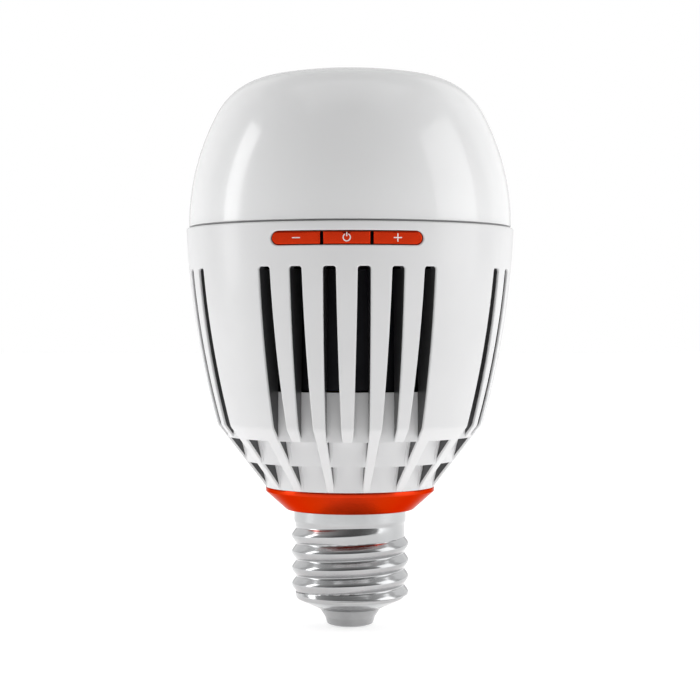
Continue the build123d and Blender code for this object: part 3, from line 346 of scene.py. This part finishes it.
def turned(name, outline, closed=True, segments=SEGMENTS):
    """A mesh turned about +Z from an outline in millimetres."""
    build = bmesh.new()
    rows = []
    for radius, height in outline:
        if radius < ON_AXIS:
            rows.append([build.verts.new((0, 0, height * MM))])
        else:
            rows.append(ring_of_vertices(build, lambda part: radius, height, segments))
    pairs = list(zip(rows, rows[1:]))
    if closed:
        pairs.append((rows[-1], rows[0]))
    for low, high in pairs:
        join_rows(build, low, high)
    return piece_from(build, name)


def stand_for(piece, node, slot):
    """The piece rides on the root body, shows in place of the node, and takes the slot's finish."""
    dress(piece, slot)
    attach(piece, "root")
    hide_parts(node)


# Heights and radii in millimetres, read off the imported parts
low_dome, high_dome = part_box("diffuser_dome")
seal_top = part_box("diffuser_seal")[1].z
low_ring, high_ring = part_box("collar_ring")
low_screw, high_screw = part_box("screw_shell")
low_insulator, high_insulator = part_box("insulator")


def dome_outline():
    """The diffuser: side, shoulder and crown arcs, the same again inside the wall, and the lip."""
    rim_z = seal_top / MM
    radius = high_dome.x / MM
    side_arc, side_angle = 52.3, 28.5
    shoulder_arc, shoulder_angle = 15.4, 50.4
    wall, lip, lip_foot = 1.8, 1.0, low_dome.z / MM
    skirt = 0.5                      # straight height between the rim and the side arc
    steps, crown_steps = 40, 30
    side_centre = (radius - side_arc, rim_z + skirt)
    turn = math.radians(side_angle)
    step = side_arc - shoulder_arc
    shoulder_centre = (side_centre[0] + step * math.cos(turn), side_centre[1] + step * math.sin(turn))
    crown_from = side_angle + shoulder_angle
    crown_arc = shoulder_arc + shoulder_centre[0] / math.cos(math.radians(crown_from))
    crown_centre = (0.0, shoulder_centre[1] - shoulder_centre[0] * math.tan(math.radians(crown_from)))

    def skin(inset):
        points = arc_points(side_centre, side_arc - inset, 0, side_angle, steps)
        shoulder = arc_points(shoulder_centre, shoulder_arc - inset, side_angle, crown_from, steps)
        crown = arc_points(crown_centre, crown_arc - inset, crown_from, 90, crown_steps)
        points += shoulder[1:] + crown[1:]
        return points

    outer, inner = skin(0), skin(wall)
    outer[-1] = (0.0, outer[-1][1])
    inner[-1] = (0.0, inner[-1][1])
    lip_outer, lip_inner = radius - wall, radius - wall - lip
    edge, bulge = 0.25, 0.25 * 0.3   # the rim's broken edge, and where its middle lies from the corner
    rim = [(radius - edge, rim_z), (radius - bulge, rim_z + bulge), (radius, rim_z + edge)]
    foot = [(lip_inner, lip_foot), (lip_outer, lip_foot), (lip_outer, rim_z)]
    inside = [point for point in inner if point[1] > rim_z + wall]
    outside = [point for point in outer if point[1] > rim_z + edge]
    return inside[::-1] + [(lip_inner, rim_z + wall)] + foot + rim + outside


dome = turned("diffuser_cover", dome_outline(), closed=False)
stand_for(dome, "diffuser_dome", "opal_plastic")


def ring_outline():
    """The collar ring's section: rounded foot, a 45 degree flank and a narrow band at the top."""
    top_z, foot_z, radius = high_ring.z / MM, low_ring.z / MM, high_ring.x / MM
    band, foot_radius = 1.0, 14.2
    bore, neck_bore, step_z = 12.65, 11.9, 29.25
    soft = 0.12                      # the band's edge, and how far the flank's top stays inside it
    flank_drop = 0.1                 # from the band's foot down to the flank's top
    corners = [
        (bore, foot_z, 0.15),
        (foot_radius, foot_z, 1.0),
        (radius - soft, top_z - band - flank_drop, soft),
        (radius, top_z - band, soft),
        (radius, top_z, 0.3),
        (neck_bore, top_z, 0),
        (neck_bore, step_z, 0),
        (bore, step_z, 0),
    ]
    return rounded_corners(corners)


stand_for(turned("neck_ring", ring_outline()), "collar_ring", "red_lacquer")

# Screw shell: thread crests and roots as one rounded wave that winds up the shell
CREST, ROOT, PITCH, WALL = high_screw.x / MM, 12.3, 3.629, 0.4
THREAD_FOOT, THREAD_TURNS, THREAD_START = 5.64, 4.4, 0.5
FADE_IN, FADE_OUT = 0.35, 0.3    # parts of a turn over which the thread starts and ends
COLLAR, COLLAR_FOOT, COLLAR_FLARE = 12.6, 23.8, 1.0
GROOVE, GROOVE_WIDTH = 0.2, 0.09  # a fine crease along the thread's root; its width is part of a pitch
THREAD_ROWS = 210


def smooth(t):
    """0 to 1 with a soft start and end."""
    t = max(0.0, min(1.0, t))
    return t * t * (3 - 2 * t)


def thread_radius(z, turn_part):
    """Outer radius of the screw shell at height z and at that part of a turn."""
    turn_part = (turn_part - THREAD_START) % 1.0
    centre = THREAD_FOOT + PITCH * turn_part
    index = round((z - centre) / PITCH)
    index = max(0, min(math.ceil(THREAD_TURNS) - 1, index))
    wound = index + turn_part
    rise = smooth(wound / FADE_IN) * smooth((THREAD_TURNS - wound) / FADE_OUT)
    away = (z - centre - index * PITCH) / PITCH
    wave = 0.5 + 0.5 * math.cos(TURN * max(-0.5, min(0.5, away)))
    flare = smooth((z - COLLAR_FOOT + COLLAR_FLARE) / COLLAR_FLARE)
    plain_radius = ROOT + (COLLAR - ROOT) * flare
    groove = GROOVE * math.exp(-(((0.5 - abs(away)) / GROOVE_WIDTH) ** 2)) * rise
    return max(plain_radius, ROOT + (CREST - ROOT) * wave * rise) - groove


def screw_mesh():
    """The pressed shell: cone at the foot, thread, collar, and a wall inside."""
    foot_z, top_z = low_screw.z / MM, high_screw.z / MM
    cone_top, cone_radius_top, cone_radius_foot = 6.2, 12.2, 6.95
    cone_edge, edge_steps, above_cone = 0.9, 8, 1.6
    lip, lip_inset = 0.15, 0.12      # height and inset of the mouth's broken edge
    bend_outer, bend_inner = WALL * 1.5, WALL * 0.6  # how far the inside's bends lie above the outside's
    build = bmesh.new()
    rows = []

    def row(radius, z):
        radius_of = radius if callable(radius) else lambda part: radius
        rows.append(ring_of_vertices(build, radius_of, z, SCREW_SEGMENTS))

    row(cone_radius_foot - WALL, foot_z)
    row(cone_radius_foot, foot_z)
    corner = [(cone_radius_foot, foot_z), (cone_radius_top, cone_top), (ROOT, cone_top + above_cone)]
    for radius, z in rounded(corner, [0, cone_edge, 0], edge_steps)[1:-1]:
        row(radius, z)
    start_z = cone_top + cone_edge
    for i in range(THREAD_ROWS + 1):
        z = start_z + (top_z - lip - start_z) * i / THREAD_ROWS
        row(lambda part: thread_radius(z, part), z)
    row(COLLAR - lip_inset, top_z)
    row(COLLAR - WALL, top_z)
    row(COLLAR - WALL, COLLAR_FOOT)
    row(ROOT - WALL, COLLAR_FOOT - WALL)
    row(ROOT - WALL, cone_top + bend_outer)
    row(cone_radius_foot - WALL, foot_z + bend_inner)
    for low, high in zip(rows, rows[1:] + rows[:1]):
        join_rows(build, low, high)
    return piece_from(build, "screw_cap")


stand_for(screw_mesh(), "screw_shell", "nickel")


def insulator_outline():
    """The grey frustum with rounded edges, and the part of it that is inside the shell."""
    foot_z, top_z = low_insulator.z / MM, high_insulator.z / MM
    shell_foot = low_screw.z / MM
    foot_radius, waist_radius, waist_z, rim_radius = 5.15, 5.65, 1.9, 6.9
    neck_radius, shoulder_z = 6.5, 6.8
    contact_seat, seat_z, lead_hole = 4.35, 1.0, 1.3
    corners = [
        (contact_seat, foot_z, 0.1),
        (foot_radius, foot_z, 0.45),
        (waist_radius, waist_z, 0.9),
        (rim_radius, shell_foot, 0.05),
        (neck_radius, shell_foot, 0),
        (neck_radius, shell_foot + WALL, 0),
        (high_insulator.x / MM, shoulder_z, 0),
        (high_insulator.x / MM, top_z, 0),
        (lead_hole, top_z, 0),
        (lead_hole, seat_z, 0),
        (contact_seat, seat_z, 0),
    ]
    return rounded_corners(corners)


insulator = turned("insulator_glaze_body", insulator_outline(), segments=INSULATOR_SEGMENTS)
stand_for(insulator, "insulator", "insulator_grey")

# ------------------------------------------------------------- floor and lights
FLOOR_GLOW = 0.57                # how strongly the paper shines by itself
FLOOR_HALF = 4.0
BULB_MIDDLE = (0, 0, 0.065)      # what the lights face
ROOM_FRONT, ROOM_BACK = 0.12, 0.7  # strengths of the room's light from the front and from the back
ROOM_SPAN = (-0.9, 0.2)          # directions along Y between which one turns into the other


def paper():
    """Pale paper; a little of its white is its own light, so that it stays even out to the horizon."""
    g = Graph("pale_paper")
    g.tint(g.spread(g.noise(3, 3.0), 0.0, 1.0), (0.80, 0.80, 0.80), (0.82, 0.82, 0.82))
    g.set(Roughness=0.75, Emission_Strength=FLOOR_GLOW)
    g.shader.inputs["Emission Color"].default_value = (1, 1, 1, 1)
    return g.material


def studio_floor():
    """A large pale floor under the bulb's tip."""
    mesh = bpy.data.meshes.new("studio_floor")
    corners = [(x * FLOOR_HALF, y * FLOOR_HALF, 0) for x, y in ((-1, -1), (1, -1), (1, 1), (-1, 1))]
    mesh.from_pydata(corners, [], [(0, 1, 2, 3)])
    piece = bpy.data.objects.new("studio_floor", mesh)
    piece.location.z = cad_box[0][2]
    bpy.context.scene.collection.objects.link(piece)
    piece.data.materials.append(paper())


studio_floor()


def area_light(name, place, size, power):
    """A soft box that faces the bulb; place and size in metres, power in watts."""
    light = bpy.data.lights.new(name, "AREA")
    light.shape = "RECTANGLE"
    light.size, light.size_y = size
    light.energy = power
    lamp = bpy.data.objects.new(name, light)
    lamp.location = place
    lamp.rotation_euler = (Vector(BULB_MIDDLE) - Vector(place)).to_track_quat("-Z", "Y").to_euler()
    bpy.context.scene.collection.objects.link(lamp)


area_light("left_box", (-0.60, -0.02, 0.16), (0.16, 0.7), 1.1)
area_light("right_box", (0.60, -0.10, 0.16), (0.40, 0.8), 1.5)
area_light("back_left", (-0.45, 0.5, 0.3), (0.5, 0.8), 0.35)
area_light("back_right", (0.45, 0.5, 0.3), (0.5, 0.8), 0.45)
area_light("top_box", (0.0, -0.1, 0.75), (0.7, 0.5), 0.7)


def studio_world():
    """White behind the bulb for the camera; it is lit by a room that is dark at the front."""
    world = bpy.data.worlds.new("studio")
    bpy.context.scene.world = world
    world.use_nodes = True
    tree = world.node_tree
    room = tree.nodes["Background"]
    room.inputs["Color"].default_value = (1, 1, 1, 1)
    side = tree.nodes.new("ShaderNodeSeparateXYZ")
    ramp = tree.nodes.new("ShaderNodeMapRange")
    tree.links.new(tree.nodes.new("ShaderNodeTexCoord").outputs["Generated"], side.inputs["Vector"])
    tree.links.new(side.outputs["Y"], ramp.inputs["Value"])
    set_range(ramp, *ROOM_SPAN, ROOM_FRONT, ROOM_BACK)
    tree.links.new(ramp.outputs["Result"], room.inputs["Strength"])
    seen = tree.nodes.new("ShaderNodeBackground")
    seen.inputs["Color"].default_value = (1, 1, 1, 1)
    seen.inputs["Strength"].default_value = 1.0
    rays = tree.nodes.new("ShaderNodeLightPath")
    mix = tree.nodes.new("ShaderNodeMixShader")
    tree.links.new(rays.outputs["Is Camera Ray"], mix.inputs["Fac"])
    tree.links.new(room.outputs["Background"], mix.inputs[1])
    tree.links.new(seen.outputs["Background"], mix.inputs[2])
    tree.links.new(mix.outputs["Shader"], tree.nodes["World Output"].inputs["Surface"])


studio_world()
bpy.context.scene.view_settings.view_transform = "Standard"

# ------------------------------------------------------------------------ camera
DISTANCE = 0.411                 # from the bulb's axis, in metres
AZIMUTH = math.radians(1.05)
EYE_HEIGHT = 0.0674
TILT = math.radians(0.78)        # downwards
SENSOR, LENS = 36, 94.0114       # millimetres
NEAREST = 0.01
camera_data = bpy.data.cameras.new("camera")
camera = bpy.data.objects.new("camera", camera_data)
bpy.context.scene.collection.objects.link(camera)
bpy.context.scene.camera = camera
camera_data.sensor_width = SENSOR
camera_data.lens = LENS
camera_data.clip_start = NEAREST
camera.location = (DISTANCE * math.sin(AZIMUTH), -DISTANCE * math.cos(AZIMUTH), EYE_HEIGHT)
camera.rotation_euler = (math.pi / 2 - TILT, 0, AZIMUTH)
